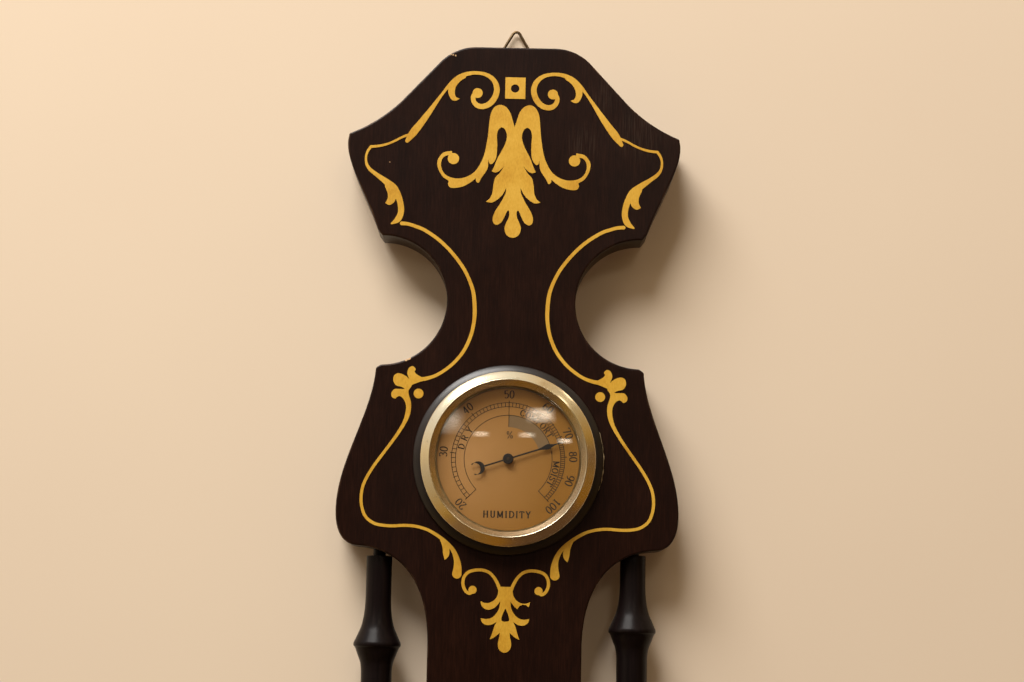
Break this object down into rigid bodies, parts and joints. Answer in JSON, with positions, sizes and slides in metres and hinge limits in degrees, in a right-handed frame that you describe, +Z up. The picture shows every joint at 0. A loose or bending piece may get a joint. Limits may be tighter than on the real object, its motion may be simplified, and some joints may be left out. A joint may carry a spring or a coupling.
{
  "type": "wall barometer",
  "caption": "Carved and inlaid wall weather station with a brass-cased hygrometer, a stem thermometer and an aneroid barometer between turned side spindles.",
  "frame": {"origin": "where the axis of the hanging nail meets the wall", "axes": "+Z up the wall, +Y from the front of the board towards the wall, +X to the right as seen from the front"},
  "size_m": [0.186, 0.0405, 0.6225],
  "materials": {
    "lacquered_wood": "dark red-brown lacquer over fine straight grain, satin, worn at the edges",
    "gilt_inlay": "gilt, satin, slightly worn",
    "ebonised_wood": "black polish, satin",
    "aged_brass": "dull, aged",
    "polished_brass": "polished, lightly lacquered",
    "clear_glass": "clear, polished",
    "copper_dial": "fine brushed satin, black print",
    "ivory_dial": "matt ivory paint, black print",
    "gold_plate": "satin gold lacquer, black print",
    "black_enamel": "satin black",
    "blued_steel": "polished blued steel",
    "bright_steel": "turned and polished",
    "coil_strip": "thin rolled strip, satin",
    "nickel_silver": "pressed, satin",
    "black_board": "black stained fibreboard, matt",
    "red_spirit": "red dyed spirit"
  },
  "bodies": {
    "station": {"backboard": "lacquered_wood", "inlay_palmette": "gilt_inlay", "inlay_scrolls": "gilt_inlay", "inlay_stems": "gilt_inlay", "inlay_drop": "gilt_inlay", "inlay_belly": "gilt_inlay", "left_spindle": "ebonised_wood", "right_spindle": "ebonised_wood", "hygrometer_surround": "ebonised_wood", "barometer_surround": "ebonised_wood", "hanger_strap": "aged_brass", "hanger_screws": "aged_brass", "hygrometer_bridge": "aged_brass", "hygrometer_case": "aged_brass", "hygrometer_screws": "aged_brass", "hygrometer_cover_screws": "aged_brass", "barometer_case": "aged_brass", "barometer_screws": "aged_brass", "barometer_cover_screws": "aged_brass", "movement_plate": "aged_brass", "rocker_posts": "aged_brass", "bridge_pillars": "aged_brass", "lower_bridge": "aged_brass", "upper_bridge": "aged_brass", "hygrometer_bezel": "polished_brass", "barometer_bezel": "polished_brass", "thermometer_clips": "polished_brass", "thermometer_pins": "polished_brass", "dial_screws": "polished_brass", "hygrometer_glass": "clear_glass", "barometer_glass": "clear_glass", "thermometer_tube": "clear_glass", "hygrometer_dial": "copper_dial", "barometer_dial": "ivory_dial", "thermometer_plate": "gold_plate", "hairspring": "blued_steel", "movement_screws": "bright_steel", "mainspring": "bright_steel", "hygrometer_coil": "coil_strip", "aneroid_capsule": "nickel_silver", "hygrometer_cover": "black_board", "barometer_cover": "black_board", "thermometer_spirit": "red_spirit"},
    "hanger_ring": {"hanger_ring": "polished_brass"},
    "hygrometer_hand": {"hygrometer_hand": "black_enamel", "hygrometer_arbor": "bright_steel"},
    "barometer_hand": {"barometer_hand": "blued_steel", "hand_arbor": "bright_steel"},
    "set_hand": {"set_hand": "polished_brass", "set_knob": "polished_brass"},
    "rocker": {"rocker": "bright_steel"},
    "lever": {"lever_arm": "aged_brass", "lever_link": "bright_steel"},
    "chain": {"chain": "bright_steel"},
    "adjusting_screw": {"adjusting_screw": "bright_steel"}
  },
  "joints": [
    {"name": "hanger_ring_swing", "type": "hinge", "parent": "station", "child": "hanger_ring", "pos_m": [0, -0.00125, -0.01555], "axis": [1, 0, 0], "range_deg": [-160, 0]},
    {"name": "hygrometer_hand_turn", "type": "hinge", "parent": "station", "child": "hygrometer_hand", "pos_m": [0, -0.0245, -0.1785], "axis": [0, 1, 0], "range_deg": [-206.5, 62.5], "stiffness_Nm_per_rad": 0.0005},
    {"name": "barometer_hand_turn", "type": "hinge", "parent": "station", "child": "barometer_hand", "pos_m": [0, -0.0245, -0.472], "axis": [0, 1, 0], "range_deg": [-143, 127], "stiffness_Nm_per_rad": 0.003},
    {"name": "set_hand_turn", "type": "hinge", "parent": "station", "child": "set_hand", "pos_m": [0, -0.0305, -0.472], "axis": [0, 1, 0], "continuous": true},
    {"name": "rocker_turn", "type": "hinge", "parent": "station", "child": "rocker", "pos_m": [0.033, -0.0115, -0.472], "axis": [0, 0, 1], "range_deg": [-19.6, 22]},
    {"name": "lever_turn", "type": "hinge", "parent": "station", "child": "lever", "pos_m": [0.00815, -0.01555, -0.472], "axis": [0, 0, 1], "range_deg": [-3.1, 2.8]},
    {"name": "chain_slide", "type": "slide", "parent": "station", "child": "chain", "axis": [1, 0, 0], "range_m": [-0.0026, 0.0029]},
    {"name": "adjusting_screw_turn", "type": "hinge", "parent": "station", "child": "adjusting_screw", "pos_m": [-0.03, -0.005, -0.472], "axis": [0, 1, 0], "range_deg": [-180, 180]}
  ],
  "couplings": [
    {"joint": "rocker_turn", "follows": "barometer_hand_turn", "ratio": -0.1533},
    {"joint": "lever_turn", "follows": "barometer_hand_turn", "ratio": 0.0211},
    {"joint": "chain_slide", "follows": "barometer_hand_turn", "m_per_rad": -0.00115}
  ]
}
